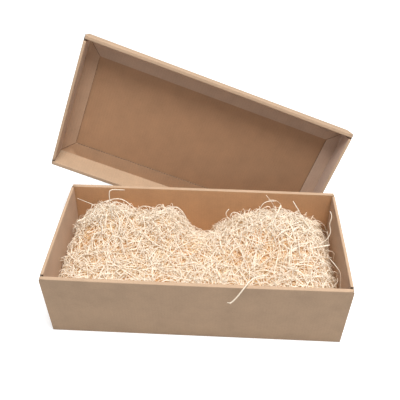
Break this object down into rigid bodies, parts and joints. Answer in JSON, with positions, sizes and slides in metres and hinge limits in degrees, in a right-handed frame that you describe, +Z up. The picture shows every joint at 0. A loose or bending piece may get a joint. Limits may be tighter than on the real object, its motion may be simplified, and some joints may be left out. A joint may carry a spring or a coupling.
{
  "type": "bottle shipping box",
  "caption": "Open folded-board box for bottles, packed with wood wool; its lift-off tray lid leans behind the base, opening forward.",
  "frame": {"origin": "middle of the base tray's underside, on the floor it rests on", "axes": "+Z up, out of the base's opening; +X along the long walls; the lid leans behind, on the +Y side"},
  "size_m": [0.3871, 0.2581, 0.2777],
  "materials": {
    "kraft_board_base": "matte",
    "kraft_board_lid": "matte",
    "wood_wool": "matte",
    "loose_wood_wool": "satin"
  },
  "bodies": {
    "root": {"base_tray": "kraft_board_base", "lid_tray": "kraft_board_lid", "wood_wool_bed": "wood_wool", "wood_wool_strands": "loose_wood_wool"}
  },
  "joints": []
}
